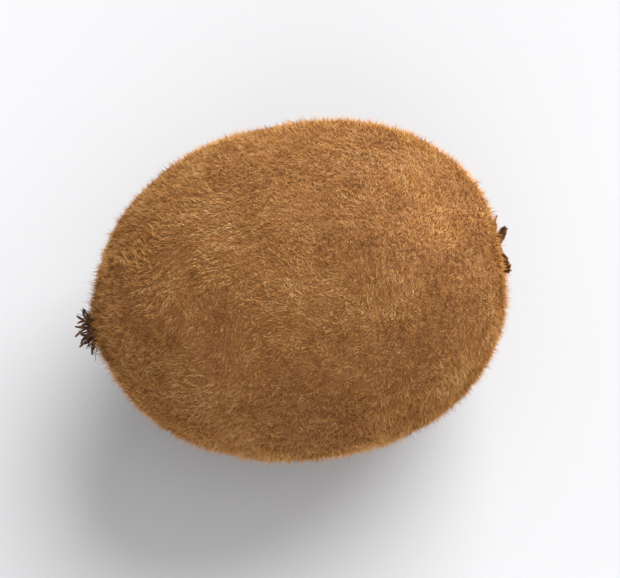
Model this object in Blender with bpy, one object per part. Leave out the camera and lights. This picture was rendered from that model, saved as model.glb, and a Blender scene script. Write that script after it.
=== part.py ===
# Whole kiwifruit lying on its side, in metres, with +Z up.
# +X is the stem end and -X the blossom end. The origin is the middle of the flat spot it rests on.

import math

import bmesh
import bpy
from mathutils import Vector, noise
from mathutils.bvhtree import BVHTree

MM = 0.001

# Size of the fruit, without the calyx and the styles
LENGTH = 64 * MM
WIDTH = 52.5 * MM
HEIGHT = 48 * MM
FLAT_DEPTH = 0.4 * MM  # how far the flat spot cuts into the round underside

# Outline: 2 is an ellipse, and a higher power is blunter
STEM_POWER = 2.18
BLOSSOM_POWER = 2.12
SECTION_POWER = 2.12
STEM_WIDENING = 0.03  # how much wider the stem half grows, as a share of the width

# Shallow hollow at the stem end, with a corky ring round the scar
BASIN_DEPTH = 1.7 * MM
BASIN_RADIUS = 6 * MM
RING_HEIGHT = 0.5 * MM
RING_RADIUS = 4.2 * MM
RING_SPREAD = 0.8 * MM

# Low beak at the blossom end, with a small hollow for the styles
BEAK_HEIGHT = 1.3 * MM
BEAK_RADIUS = 4.5 * MM
HOLLOW_DEPTH = 0.9 * MM
HOLLOW_RADIUS = 2.4 * MM

# Creases that run out from both ends
CREASE_DEPTH = 0.16 * MM
CREASE_RADIUS = 6.5 * MM
CREASE_SPREAD = 2.5 * MM
CREASES = 13

# Lumps of the skin: size across, height
BROAD_LUMP = (19 * MM, 0.42 * MM)
SMALL_LUMP = (7 * MM, 0.13 * MM)
SETTLED_RADIUS = 9 * MM  # the lumps fade out this near the spot it rests on

# Mesh of the fruit
SIDES = 60
CAP_SHARE = 0.36  # share of the radius with fine rings at each end
CAP_RINGS = 14
BODY_RINGS = 17  # from the end of the fine rings to the middle

GAP = 0.35 * MM  # between the fruit and what sits on it

# Calyx: a woody button with a dished top, and dry sepals round it
BUTTON_RADIUS = 2.5 * MM
BUTTON_HEIGHT = 1.7 * MM
BUTTON_DISH = 0.6 * MM
BUTTON_SIDES = 20
BUTTON_PROFILE = ((1, 0.4), (0.84, 0.62), (0.74, 0.92), (0.58, 1))  # radius and height shares
DISH_PROFILE = ((0.4, 0.7), (0.18, 1))  # radius share and share of the dish's depth
SEPALS = 5
SEPAL_LENGTH = 4 * MM
SEPAL_HALF_WIDTH = 1.7 * MM
SEPAL_TIP_SHARE = 0.12  # width that is left at the tip
SEPAL_THICKNESS = 0.65 * MM
SEPAL_CURL = 0.8 * MM
SEPAL_CUP = 0.25 * MM  # how far its long edges stand up at the tip
SEPAL_ROOT = 1.5 * MM  # its start inside the button, from the axis
SEPAL_ROWS = 7
SEPAL_COLUMNS = 4

# Styles: a low knot with dry curled threads
KNOT_RADIUS = 2 * MM
KNOT_HEIGHT = 1.1 * MM
KNOT_PROFILE = ((1, 0.35), (0.8, 0.75), (0.45, 1))  # radius and height shares
STYLES = 28
STYLE_LENGTH = 2.9 * MM
STYLE_ROOT_RADIUS = 0.32 * MM
STYLE_TIP_RADIUS = 0.25 * MM
STYLE_LEAN = math.radians(72)  # lean of the outermost threads
STYLE_BEND = math.radians(52)  # most that a middle thread bends on its way
STYLE_SWING = 0.5  # how far a thread swings to its side, as a share of its step
STYLE_SIDES = 5
STYLE_STEPS = 5
GOLDEN_ANGLE = math.radians(137.5)

# Colours are linear, roughness from 0 to 1
SKIN = ((0.262, 0.117, 0.041), 0.85)
DRY_CALYX = ((0.120, 0.058, 0.026), 0.9)
DRY_STYLES = ((0.052, 0.026, 0.014), 0.9)

STEM_END = 1
BLOSSOM_END = -1


def clear_scene():
    for item in list(bpy.data.objects):
        bpy.data.objects.remove(item, do_unlink=True)


def material(name, finish):
    colour, roughness = finish
    made = bpy.data.materials.new(name)
    made.use_nodes = True
    shader = made.node_tree.nodes["Principled BSDF"]
    shader.inputs["Base Color"].default_value = (*colour, 1)
    shader.inputs["Roughness"].default_value = roughness
    shader.inputs["Metallic"].default_value = 0
    made.diffuse_color = (*colour, 1)
    return made


def link_object(name, mesh, finish):
    mesh.shade_smooth()
    mesh.materials.clear()
    mesh.materials.append(finish)
    made = bpy.data.objects.new(name, mesh)
    bpy.context.scene.collection.objects.link(made)
    return made


def mesh_from(name, points, faces):
    mesh = bpy.data.meshes.new(name)
    mesh.from_pydata(points, [], faces)
    return mesh


# A bell-shaped bump, 1 in the middle and fading over the spread
def bell(distance, spread):
    return math.exp(-((distance / spread) ** 2))


def signed_power(value, power):
    return math.copysign(abs(value) ** power, value)


# A size that differs from one repeated piece to the next, by a share either way
def varied(size, share, phase):
    return size * (1 + share * math.sin(phase))


# How far the skin stands out along X near an end, by distance from the axis and angle round it
def end_relief(end, radius, angle):
    wander = 1.3 * noise.noise(Vector((radius / (4 * MM), end * 3, 0)))
    crease = 0.5 + 0.5 * math.cos(CREASES * angle + wander)
    relief = -CREASE_DEPTH * crease * bell(radius - CREASE_RADIUS, CREASE_SPREAD)
    if end == STEM_END:
        relief -= BASIN_DEPTH * bell(radius, BASIN_RADIUS)
        relief += RING_HEIGHT * bell(radius - RING_RADIUS, RING_SPREAD)
    else:
        relief += BEAK_HEIGHT * bell(radius, BEAK_RADIUS)
        relief -= HOLLOW_DEPTH * bell(radius, HOLLOW_RADIUS)
    return relief


# A point of the smooth form round its own centre: share is the distance from the axis, 0 at the
# end and 1 at the middle of the fruit
def form_point(end, share, angle):
    power = STEM_POWER if end == STEM_END else BLOSSOM_POWER
    along = max(0, 1 - share**power) ** (1 / power)
    widening = 1 + STEM_WIDENING * end * along
    round_power = 2 / SECTION_POWER
    y = WIDTH / 2 * share * widening * signed_power(math.cos(angle), round_power)
    z = HEIGHT / 2 * share * widening * signed_power(math.sin(angle), round_power)
    x = end * (LENGTH / 2 * along + end_relief(end, math.hypot(y, z), angle))
    return Vector((x, y, z))


def with_lumps(point):
    underside = Vector((0, 0, -HEIGHT / 2))
    settled = 1 - bell((point - underside).length, SETTLED_RADIUS)
    lift = 0
    for size, height in (BROAD_LUMP, SMALL_LUMP):
        lift += height * noise.noise(point / size + Vector((3.7, 1.2, 8.4)))
    return point + point.normalized() * lift * settled


# Ring shares from an end to the middle: even steps near the end, then even steps of angle
def ring_shares(end):
    power = STEM_POWER if end == STEM_END else BLOSSOM_POWER
    shares = [CAP_SHARE * (i + 1) / CAP_RINGS for i in range(CAP_RINGS)]
    first = math.asin(CAP_SHARE ** (power / 2))
    step = (math.pi / 2 - first) / BODY_RINGS
    shares += [math.sin(first + step * (i + 1)) ** (2 / power) for i in range(BODY_RINGS)]
    return shares


def ring_of_form(end, share):
    return [form_point(end, share, 2 * math.pi * i / SIDES) for i in range(SIDES)]


# Rings from the stem end to the blossom end, with the middle ring once
def fruit_rings():
    stem = [ring_of_form(STEM_END, share) for share in ring_shares(STEM_END)]
    blossom = [ring_of_form(BLOSSOM_END, share) for share in ring_shares(BLOSSOM_END)]
    return stem + blossom[-2::-1]


def fruit_form():
    rings = fruit_rings()
    points = [form_point(STEM_END, 0, 0)] + [p for ring in rings for p in ring]
    points.append(form_point(BLOSSOM_END, 0, 0))
    faces = []
    last = len(points) - 1
    last_ring = last - SIDES
    for i in range(SIDES):
        after = (i + 1) % SIDES
        faces.append((0, 1 + i, 1 + after))
        for row in range(len(rings) - 1):
            near = 1 + row * SIDES
            far = near + SIDES
            faces.append((near + i, far + i, far + after, near + after))
        faces.append((last, last_ring + after, last_ring + i))
    return [with_lumps(p) for p in points], faces


# Stretches the form to the size at the top of this file, with the underside just below z = 0
def sized(points):
    target = Vector((LENGTH, WIDTH, HEIGHT + FLAT_DEPTH))
    low = Vector(min(p[i] for p in points) for i in range(3))
    high = Vector(max(p[i] for p in points) for i in range(3))
    middle = (low + high) / 2
    stretch = Vector(target[i] / (high[i] - low[i]) for i in range(3))
    lift = Vector((0, 0, target.z / 2 - FLAT_DEPTH))
    return [(point - middle) * stretch + lift for point in points]


# Cuts the flat spot at z = 0, and gives the spot and its middle
def cut_flat_spot(form):
    everything = form.verts[:] + form.edges[:] + form.faces[:]
    cut = bmesh.ops.bisect_plane(
        form, geom=everything, dist=0.01 * MM, plane_co=(0, 0, 0), plane_no=(0, 0, -1), clear_outer=True
    )
    rim = [item for item in cut["geom_cut"] if isinstance(item, bmesh.types.BMEdge)]
    spot = bmesh.ops.contextual_create(form, geom=rim)["faces"][0]
    return spot, spot.calc_center_median_weighted()


# Makes the fruit with the middle of its flat spot at the origin, and gives its skin and the
# point where its own axis ends at the stem and at the blossom
def make_fruit():
    points, faces = fruit_form()
    points = sized(points)
    mesh = mesh_from("fruit", points, faces)
    form = bmesh.new()
    form.from_mesh(mesh)
    bmesh.ops.recalc_face_normals(form, faces=form.faces[:])
    spot, middle = cut_flat_spot(form)
    bmesh.ops.translate(form, verts=form.verts[:], vec=-middle)
    bmesh.ops.triangulate(form, faces=[face for face in form.faces if face != spot])
    bmesh.ops.triangulate(form, faces=[spot])
    bmesh.ops.recalc_face_normals(form, faces=form.faces[:])
    skin = BVHTree.FromBMesh(form)
    form.to_mesh(mesh)
    form.free()
    link_object("fruit", mesh, material("kiwi_skin", SKIN))
    return skin, points[0] - middle, points[-1] - middle


# One end of the fruit, which places what sits on the skin there
class FruitEnd:
    def __init__(self, skin, centre, side):
        self.skin = skin
        self.centre = centre
        self.side = side

    # A point over the skin, by distance from the axis, angle round it and height along X
    def above(self, radius, angle, height):
        y = self.centre.y + radius * math.cos(angle)
        z = self.centre.z + radius * math.sin(angle)
        start = Vector((self.side * LENGTH, y, z))
        hit = self.skin.ray_cast(start, Vector((-self.side, 0, 0)))[0]
        return hit + Vector((self.side * height, 0, 0))


# A closed solid from two alike grids of points, an outer and an inner one
def plate(name, outer, inner):
    rows, columns = len(outer), len(outer[0])
    points = [p for row in outer for p in row] + [p for row in inner for p in row]
    under = rows * columns

    def at(row, column):
        return row * columns + column

    faces = []
    for r in range(rows - 1):
        for c in range(columns - 1):
            corners = (at(r, c), at(r, c + 1), at(r + 1, c + 1), at(r + 1, c))
            for triangle in ((0, 1, 2), (0, 2, 3)):
                face = [corners[k] for k in triangle]
                faces.append(face)
                faces.append([under + k for k in reversed(face)])
    edge = [at(0, c) for c in range(columns)]
    edge += [at(r, columns - 1) for r in range(1, rows)]
    edge += [at(rows - 1, c) for c in range(columns - 2, -1, -1)]
    edge += [at(r, 0) for r in range(rows - 2, 0, -1)]
    for i, here in enumerate(edge):
        after = edge[(i + 1) % len(edge)]
        faces.append((after, here, under + here, under + after))
    return mesh_from(name, points, faces)


# A round solid that lies on the skin: heights gives (radius, height above the skin) from the rim
# to the middle
def button(name, end, heights):
    points, faces = [], []

    def ring(radius, height):
        first = len(points)
        for i in range(BUTTON_SIDES):
            points.append(end.above(radius, 2 * math.pi * i / BUTTON_SIDES, height))
        return first

    def band(a, b):
        for i in range(BUTTON_SIDES):
            after = (i + 1) % BUTTON_SIDES
            faces.append((a + i, a + after, b + after, b + i))

    def fan(a, height):
        points.append(end.above(0, 0, height))
        middle = len(points) - 1
        for i in range(BUTTON_SIDES):
            faces.append((a + i, a + (i + 1) % BUTTON_SIDES, middle))

    rim = heights[0][0]
    below = [ring(rim * share, GAP) for share in (0.33, 0.67, 1)]
    above = [ring(radius, height) for radius, height in heights]
    for a, b in zip(below, below[1:]):
        band(a, b)
    band(below[-1], above[0])
    for a, b in zip(above, above[1:]):
        band(a, b)
    fan(below[0], GAP)
    fan(above[-1], heights[-1][1])
    return mesh_from(name, points, faces)


def face_outwards(mesh):
    form = bmesh.new()
    form.from_mesh(mesh)
    bmesh.ops.recalc_face_normals(form, faces=form.faces[:])
    form.to_mesh(mesh)
    form.free()


# Joins small solids to a core in one union and drops the small ones
def fused(core, pieces):
    group = bpy.data.collections.new(core.name + "_pieces")
    for piece in pieces:
        group.objects.link(piece)
    union = core.modifiers.new("union", "BOOLEAN")
    union.operation = "UNION"
    union.operand_type = "COLLECTION"
    union.collection = group
    shaped = core.evaluated_get(bpy.context.evaluated_depsgraph_get())
    joined = bpy.data.meshes.new_from_object(shaped)
    core.modifiers.clear()
    core.data = joined
    for piece in pieces:
        bpy.data.objects.remove(piece, do_unlink=True)
    bpy.data.collections.remove(group)
    joined.shade_smooth()


# A dry sepal from the button out along the skin, pointed, with its tip curled away from it
def sepal(index, end, finish):
    angle = 2 * math.pi * (index + 0.25 * math.sin(5 * index)) / SEPALS
    length = varied(SEPAL_LENGTH, 0.16, 2.3 * index + 1.6)
    half_width = varied(SEPAL_HALF_WIDTH, 0.12, 3.1 * index + 1)
    curl = varied(SEPAL_CURL, 0.4, 1.7 * index)
    outer, inner = [], []
    for row in range(SEPAL_ROWS + 1):
        along = row / SEPAL_ROWS
        reach = SEPAL_ROOT + length * along
        belly = math.sin(math.pi * (0.22 + 0.76 * along)) ** 0.7
        width = half_width * (SEPAL_TIP_SHARE + (1 - SEPAL_TIP_SHARE) * belly)
        outer_row, inner_row = [], []
        for column in range(SEPAL_COLUMNS + 1):
            across = 2 * column / SEPAL_COLUMNS - 1
            side = width * across
            radius = math.hypot(reach, side)
            turn = angle + math.atan2(side, reach)
            lift = GAP + curl * along**2.2 + SEPAL_CUP * across**2 * along
            inner_row.append(end.above(radius, turn, lift))
            outer_row.append(end.above(radius, turn, lift + SEPAL_THICKNESS))
        outer.append(outer_row)
        inner.append(inner_row)
    mesh = plate(f"sepal_{index}", outer, inner)
    face_outwards(mesh)
    return link_object(f"sepal_{index}", mesh, finish)


def make_calyx(end):
    finish = material("dry_calyx", DRY_CALYX)
    top = GAP + BUTTON_HEIGHT
    heights = [(BUTTON_RADIUS * r, GAP + BUTTON_HEIGHT * h) for r, h in BUTTON_PROFILE]
    heights += [(BUTTON_RADIUS * r, top - BUTTON_DISH * h) for r, h in DISH_PROFILE]
    mesh = button("calyx", end, heights)
    face_outwards(mesh)
    core = link_object("calyx", mesh, finish)
    fused(core, [sepal(i, end, finish) for i in range(SEPALS)])


# The curled middle line of a thread, from inside the knot: share is 0 for the middle thread and
# 1 for the outermost
def style_path(index, share, foot, outwards, sideways):
    step = varied(STYLE_LENGTH * (1 - 0.25 * share), 0.25, 2.9 * index) / STYLE_STEPS
    points = [foot + outwards * KNOT_RADIUS * 0.6 * share]
    for i in range(STYLE_STEPS):
        along = (i + 0.5) / STYLE_STEPS
        bend = STYLE_BEND * math.sin(1.3 * index) * along * (1 - 0.6 * share)
        lean = STYLE_LEAN * share + bend
        swing = STYLE_SWING * math.sin(2.1 * index + 2 * along)
        heading = Vector((BLOSSOM_END * math.cos(lean), 0, 0))
        heading += outwards * math.sin(lean) + sideways * swing
        points.append(points[-1] + heading.normalized() * step)
    return points


def style_thread(index, foot, finish):
    turn = GOLDEN_ANGLE * index
    outwards = Vector((0, math.cos(turn), math.sin(turn)))
    sideways = Vector((0, -math.sin(turn), math.cos(turn)))
    share = math.sqrt((index + 0.5) / STYLES)
    path = style_path(index, share, foot, outwards, sideways)
    points, faces = [], []
    for i, middle in enumerate(path):
        ahead = path[min(i + 1, STYLE_STEPS)] - path[max(i - 1, 0)]
        across = ahead.cross(sideways).normalized()
        upright = ahead.cross(across).normalized()
        radius = STYLE_ROOT_RADIUS + (STYLE_TIP_RADIUS - STYLE_ROOT_RADIUS) * i / STYLE_STEPS
        for side in range(STYLE_SIDES):
            angle = 2 * math.pi * side / STYLE_SIDES
            points.append(middle + (across * math.cos(angle) + upright * math.sin(angle)) * radius)
    for i in range(STYLE_STEPS):
        for side in range(STYLE_SIDES):
            after = (side + 1) % STYLE_SIDES
            near, far = i * STYLE_SIDES, (i + 1) * STYLE_SIDES
            faces.append((near + side, near + after, far + after, far + side))
    faces.append(list(range(STYLE_SIDES)))
    faces.append([STYLE_STEPS * STYLE_SIDES + side for side in range(STYLE_SIDES)])
    mesh = mesh_from(f"style_{index}", points, faces)
    face_outwards(mesh)
    return link_object(f"style_{index}", mesh, finish)


def make_styles(end):
    finish = material("dry_styles", DRY_STYLES)
    heights = [(KNOT_RADIUS * r, GAP + KNOT_HEIGHT * h) for r, h in KNOT_PROFILE]
    mesh = button("styles", end, heights)
    face_outwards(mesh)
    core = link_object("styles", mesh, finish)
    foot = end.above(0, 0, GAP + 1.6 * STYLE_ROOT_RADIUS)
    fused(core, [style_thread(i, foot, finish) for i in range(STYLES)])


clear_scene()
fruit_skin, stem_centre, blossom_centre = make_fruit()
make_calyx(FruitEnd(fruit_skin, stem_centre, STEM_END))
make_styles(FruitEnd(fruit_skin, blossom_centre, BLOSSOM_END))
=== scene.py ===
import math

import bmesh
import bpy
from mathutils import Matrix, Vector, noise
from mathutils.bvhtree import BVHTree


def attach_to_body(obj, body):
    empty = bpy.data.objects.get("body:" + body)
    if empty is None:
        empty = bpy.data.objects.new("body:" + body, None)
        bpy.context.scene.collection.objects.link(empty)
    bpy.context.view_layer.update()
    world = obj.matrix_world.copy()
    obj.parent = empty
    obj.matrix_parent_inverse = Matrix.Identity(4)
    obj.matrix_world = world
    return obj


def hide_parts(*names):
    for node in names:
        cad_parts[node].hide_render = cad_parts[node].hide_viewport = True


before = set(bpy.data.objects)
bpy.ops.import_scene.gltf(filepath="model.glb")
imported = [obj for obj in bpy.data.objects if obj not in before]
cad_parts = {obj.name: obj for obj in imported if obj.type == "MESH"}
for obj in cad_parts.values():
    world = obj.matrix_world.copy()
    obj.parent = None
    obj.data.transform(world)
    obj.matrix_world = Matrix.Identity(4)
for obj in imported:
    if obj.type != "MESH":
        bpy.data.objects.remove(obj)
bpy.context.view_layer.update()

# A whole kiwifruit lying on its side. Its fuzzy skin has the dry calyx at the +X end and the
# dry styles at the -X end. All sizes are in metres, and all colours are (red, green, blue, 1).

mm = 0.001
middle = Vector((0, 0, 24 * mm))  # of the fruit
farOut = 60 * mm  # beyond both ends
print("kiwifruit: frame loaded")


# Adds nodes to one tree, and sets or wires their inputs
class Bench:
    columns = 12
    spacing = (190, -260)  # between the nodes in the editor

    def __init__(self, tree):
        self.tree = tree

    def feed(self, socket, value):
        if isinstance(value, bpy.types.NodeSocket):
            self.tree.links.new(value, socket)
        else:
            socket.default_value = value

    def add(self, kind, inputs=None, **settings):
        node = self.tree.nodes.new(kind)
        row, column = divmod(len(self.tree.nodes), self.columns)
        node.location = (self.spacing[0] * column, self.spacing[1] * row)
        for name, value in settings.items():
            setattr(node, name, value)
        for name, value in (inputs or {}).items():
            self.feed(node.inputs[name], value)
        return node

    # passes a shape through a geometry node
    def through(self, kind, shape, inputs=None, **settings):
        return self.add("GeometryNode" + kind, {0: shape, **(inputs or {})}, **settings).outputs[0]

    # one operation along a row of values
    def calc(self, operation, first, *others):
        for other in others:
            first = self.add("ShaderNodeMath", {0: first, 1: other}, operation=operation).outputs[0]
        return first

    # the same for vectors, or an operation on one vector alone
    def vector(self, operation, first, *others):
        for other in others or [(0, 0, 0)]:
            node = self.add("ShaderNodeVectorMath", {0: first, 1: other}, operation=operation)
            first = node.outputs["Value" if operation in ("DOT_PRODUCT", "LENGTH") else "Vector"]
        return first

    def scaled(self, a, amount):
        node = self.add("ShaderNodeVectorMath", {0: a, "Scale": amount}, operation="SCALE")
        return node.outputs[0]

    def split(self, vector):
        return self.add("ShaderNodeSeparateXYZ", {0: vector}).outputs

    def joined(self, x=0.0, y=0.0, z=0.0):
        return self.add("ShaderNodeCombineXYZ", {0: x, 1: y, 2: z}).outputs[0]

    # maps a value from one range to another, held at both ends
    def spread(self, value, low, high, newLow, newHigh):
        span = {"From Min": low, "From Max": high, "To Min": newLow, "To Max": newHigh}
        return self.add("ShaderNodeMapRange", {"Value": value, **span}).outputs["Result"]

    def mixed(self, amount, a, b, blend="MIX"):
        settings = {"data_type": "RGBA", "blend_type": blend}
        return self.add("ShaderNodeMix", {0: amount, 6: a, 7: b}, **settings).outputs[2]

    def shaded(self, colour, shade):
        return self.mixed(1.0, colour, self.joined(shade, shade, shade), "MULTIPLY")

    # 1 over a size, which is a number or a socket
    def per(self, size):
        if isinstance(size, bpy.types.NodeSocket):
            return self.calc("DIVIDE", 1.0, size)
        return 1 / size

    def clouds(self, where, size, detail=2.0, roughness=0.5, output="Fac"):
        values = {"Scale": self.per(size), "Detail": detail, "Roughness": roughness}
        return self.add("ShaderNodeTexNoise", {"Vector": where, **values}).outputs[output]

    def cells(self, where, size):
        return self.add("ShaderNodeTexVoronoi", {"Vector": where, "Scale": self.per(size)}).outputs

    def chance(self, low, high, seed):
        values = {2: low, 3: high, "Seed": seed}
        return self.add("FunctionNodeRandomValue", values, data_type="FLOAT").outputs[1]

    def position(self):
        return self.add("GeometryNodeInputPosition").outputs[0]

    def normal(self):
        return self.add("GeometryNodeInputNormal").outputs[0]

    def stored(self, name, kind="FLOAT"):
        node = self.add("GeometryNodeInputNamedAttribute", {"Name": name}, data_type=kind)
        return node.outputs[0]


# Each kind of socket comes with its labels
def addSockets(group, direction, sockets):
    for kind, labels in sockets.items():
        for label in labels:
            group.interface.new_socket(label, in_out=direction, socket_type="NodeSocket" + kind)


# The value for an input labelled "Dimple Size" is named dimpleSize
def valueName(label):
    return label[0].lower() + label[1:].replace(" ", "")


def startTree(name, inputs):
    tree = bpy.data.node_groups.new(name, "GeometryNodeTree")
    addSockets(tree, "INPUT", {"Geometry": ["Geometry"], **inputs, "Material": ["Material"]})
    addSockets(tree, "OUTPUT", {"Geometry": ["Geometry"]})
    bench = Bench(tree)
    return bench, bench.add("NodeGroupInput").outputs


def endTree(bench, given, shape):
    shape = bench.through("SetShadeSmooth", shape)
    shape = bench.through("RealizeInstances", shape)
    shape = bench.through("SetMaterial", shape, {"Material": given["Material"]})
    bench.feed(bench.add("NodeGroupOutput").inputs[0], shape)
    return bench.tree


# Runs a tree on an object with these values and keeps the result as a plain mesh
def applyTree(piece, tree, values):
    modifier = piece.modifiers.new(tree.name, "NODES")
    modifier.node_group = tree
    for socket in tree.interface.items_tree:
        if socket.in_out == "INPUT" and socket.name != "Geometry":
            modifier[socket.identifier] = values[valueName(socket.name)]
    shaped = piece.evaluated_get(bpy.context.evaluated_depsgraph_get())
    mesh = bpy.data.meshes.new_from_object(shaped)
    piece.modifiers.remove(modifier)
    piece.data = mesh
    mesh.name = piece.name


def newPiece(name, mesh):
    piece = bpy.data.objects.new(name, mesh)
    bpy.context.scene.collection.objects.link(piece)
    return piece


def meshOf(name, points, faces):
    mesh = bpy.data.meshes.new(name)
    mesh.from_pydata(points, [], faces)
    form = bmesh.new()
    form.from_mesh(mesh)
    bmesh.ops.recalc_face_normals(form, faces=form.faces[:])
    form.to_mesh(mesh)
    form.free()
    return mesh


def attach(piece, slot, *nodes):
    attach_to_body(piece, "root")
    if nodes:
        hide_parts(*nodes)


def newMaterial(name, shine):
    material = bpy.data.materials.new(name)
    material.use_nodes = True
    shader = material.node_tree.nodes["Principled BSDF"].inputs
    shader["Specular IOR Level"].default_value = shine
    return material, Bench(material.node_tree), shader


def addBump(bench, shader, height, depth):
    bump = bench.add("ShaderNodeBump", {"Height": height, "Distance": depth, "Strength": 1.0})
    bench.feed(shader["Normal"], bump.outputs["Normal"])


# Blotches of two colours with small dots of a third, for every dry or fleshy surface here
blotches = {
    "detail": 4.0,
    "roughness": 0.6,
    "edges": (0.35, 0.65),
    "dotEdges": (0.15, 0.45),
}


def mottleGroup():
    group = bpy.data.node_groups.new("mottle", "ShaderNodeTree")
    addSockets(group, "INPUT", {
        "Vector": ["Vector"],
        "Float": ["Blotch Size", "Dot Size", "Dot Strength", "Dark Roughness", "Light Roughness"],
        "Color": ["Dark", "Light", "Dots"],
    })
    addSockets(group, "OUTPUT", {"Color": ["Color"], "Float": ["Roughness", "Height"]})
    bench = Bench(group)
    given = bench.add("NodeGroupInput").outputs
    detail, roughness = blotches["detail"], blotches["roughness"]
    blotch = bench.clouds(given["Vector"], given["Blotch Size"], detail, roughness)
    blotch = bench.spread(blotch, *blotches["edges"], 0.0, 1.0)
    dot = bench.cells(given["Vector"], given["Dot Size"])["Distance"]
    dot = bench.spread(dot, *blotches["dotEdges"], 1.0, 0.0)
    colour = bench.mixed(blotch, given["Dark"], given["Light"])
    colour = bench.mixed(bench.calc("MULTIPLY", dot, given["Dot Strength"]), colour, given["Dots"])
    rough = bench.spread(blotch, 0.0, 1.0, given["Dark Roughness"], given["Light Roughness"])
    out = bench.add("NodeGroupOutput").inputs
    bench.feed(out["Color"], colour)
    bench.feed(out["Roughness"], rough)
    bench.feed(out["Height"], bench.calc("SUBTRACT", blotch, dot))
    return group


mottle = mottleGroup()


def addMottle(bench, where, look):
    node = bench.add("ShaderNodeGroup", node_tree=mottle)
    bench.feed(node.inputs["Vector"], where)
    for socket in node.inputs[1:]:
        socket.default_value = look[valueName(socket.name)]
    return node.outputs


# From the fruit's long axis straight out to a point
def fromAxis(bench, where, axis):
    return bench.vector("MULTIPLY", bench.vector("SUBTRACT", where, axis), (0, 1, 1))


# The fruit's long axis comes out in the middle of what grows at each end
def axisPoint(node, side):
    points = [v.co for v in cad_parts[node].data.vertices]
    return min(points, key=lambda p: side * p.x).copy()


stemAxis = axisPoint("calyx", 1)
blossomAxis = axisPoint("styles", -1)


# Dark specks that the skin and its fuzz share: partly dark dots of the skin, partly painted shadow
# in the holes between tufts
specksAndShade = {
    "spacing": 1.2 * mm,
    "sizes": (0.05, 0.45),  # as shares of the spacing
    "edge": 0.2,
    "tone": -0.22,  # of the fuzz over a speck, painted shade of the hole there
    "bare": 0.15,
    "shorter": 0.1,
    # partly the skin's own dark dots, partly painted shadow in the holes between tufts
    "colour": (0.170, 0.070, 0.021, 1),
}


# 1 within a speck and 0 between them
def addSpecks(bench, where, spacing):
    cells = bench.cells(where, spacing)
    size = bench.spread(bench.split(cells["Color"])["X"], 0.0, 1.0, *specksAndShade["sizes"])
    distance = bench.calc("DIVIDE", cells["Distance"], size)
    return bench.spread(distance, specksAndShade["edge"], 1.0, 1.0, 0.0)


# Skin under the fuzz
skin = {
    "mergeDistance": 0.005 * mm,
    "mergeAngles": (math.radians(30), math.radians(60)),  # of two triangles' faces and shapes
    "smoothing": 2,
    "dimpleSize": 3.2 * mm,
    "dimpleDepth": 0.18 * mm,
    "poreSize": 1.1 * mm,
    "poreDepth": 0.10 * mm,
    "reliefHeight": 2 * mm,  # full relief from here up, and none on the resting spot
    "lift": 0.16 * mm,  # of the resting spot, for the pressed fuzz under it
    "liftHeight": 0.8 * mm,
    "bumpDepth": 0.05 * mm,
    "shine": 0.2,
    "endShade": 0.5,  # darker round both ends, from endRadius in to endCore
    "endCore": 2.8 * mm,
    "endRadius": 8 * mm,
    "feltSize": 0.22 * mm,
    "feltDetail": 3.0,
    "feltRoughness": 0.65,
    "feltEdges": (0.32, 0.68),
    # the felt's dark colour is painted shade under the hair; its light colour is the down's
    "feltDark": (0.085, 0.032, 0.009, 1),
    "feltLight": (0.340, 0.150, 0.045, 1),
    "feltShare": 0.7,
    "look": {
        "blotchSize": 5 * mm,
        "dotSize": 0.9 * mm,
        "dotStrength": 0.7,
        "dark": (0.120, 0.046, 0.013, 1),
        "light": (0.220, 0.092, 0.026, 1),
        "dots": (0.060, 0.022, 0.007, 1),
        "darkRoughness": 0.85,
        "lightRoughness": 0.65,
    },
}


def skinMaterial():
    material, bench, shader = newMaterial("kiwiSkin", skin["shine"])
    where = bench.add("ShaderNodeTexCoord").outputs["Object"]
    pattern = addMottle(bench, where, skin["look"])
    # felt: the down's colour mixed with painted shade under the hair
    felt = bench.clouds(where, skin["feltSize"], skin["feltDetail"], skin["feltRoughness"])
    felt = bench.spread(felt, *skin["feltEdges"], 0.0, 1.0)
    feltDownAndShade = bench.mixed(felt, skin["feltDark"], skin["feltLight"])
    colour = bench.mixed(skin["feltShare"], pattern["Color"], feltDownAndShade)
    # specks: partly the skin's dark dots, partly painted shadow in the holes between tufts
    inSpeck = addSpecks(bench, where, specksAndShade["spacing"])
    colour = bench.mixed(inSpeck, colour, specksAndShade["colour"])
    distance = bench.vector("LENGTH", fromAxis(bench, where, stemAxis))
    shade = bench.spread(distance, skin["endCore"], skin["endRadius"], skin["endShade"], 1.0)
    bench.feed(shader["Base Color"], bench.shaded(colour, shade))
    bench.feed(shader["Roughness"], pattern["Roughness"])
    addBump(bench, shader, bench.calc("ADD", pattern["Height"], felt), skin["bumpDepth"])
    return material


# Smooths the solid's skin and presses dimples and pores into it
def skinTree():
    bench, given = startTree("skinRelief", {
        "Int": ["Smoothing"],
        "Float": [
            "Dimple Size", "Dimple Depth", "Pore Size", "Pore Depth", "Relief Height",
            "Lift", "Lift Height",
        ],
    })
    shape = bench.through("SubdivisionSurface", given["Geometry"], {"Level": given["Smoothing"]})
    where = bench.position()
    heights = []
    for label in ("Dimple", "Pore"):
        swell = bench.calc("SUBTRACT", bench.clouds(where, given[label + " Size"]), 0.5)
        heights.append(bench.calc("MULTIPLY", swell, given[label + " Depth"]))
    overFloor = bench.split(where)["Z"]
    share = bench.spread(overFloor, 0.0, given["Relief Height"], 0.0, 1.0)
    push = bench.scaled(bench.normal(), bench.calc("MULTIPLY", bench.calc("ADD", *heights), share))
    lift = bench.spread(overFloor, 0.0, given["Lift Height"], given["Lift"], 0.0)
    push = bench.vector("ADD", push, bench.joined(z=lift))
    return endTree(bench, given, bench.through("SetPosition", shape, {"Offset": push}))


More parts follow.
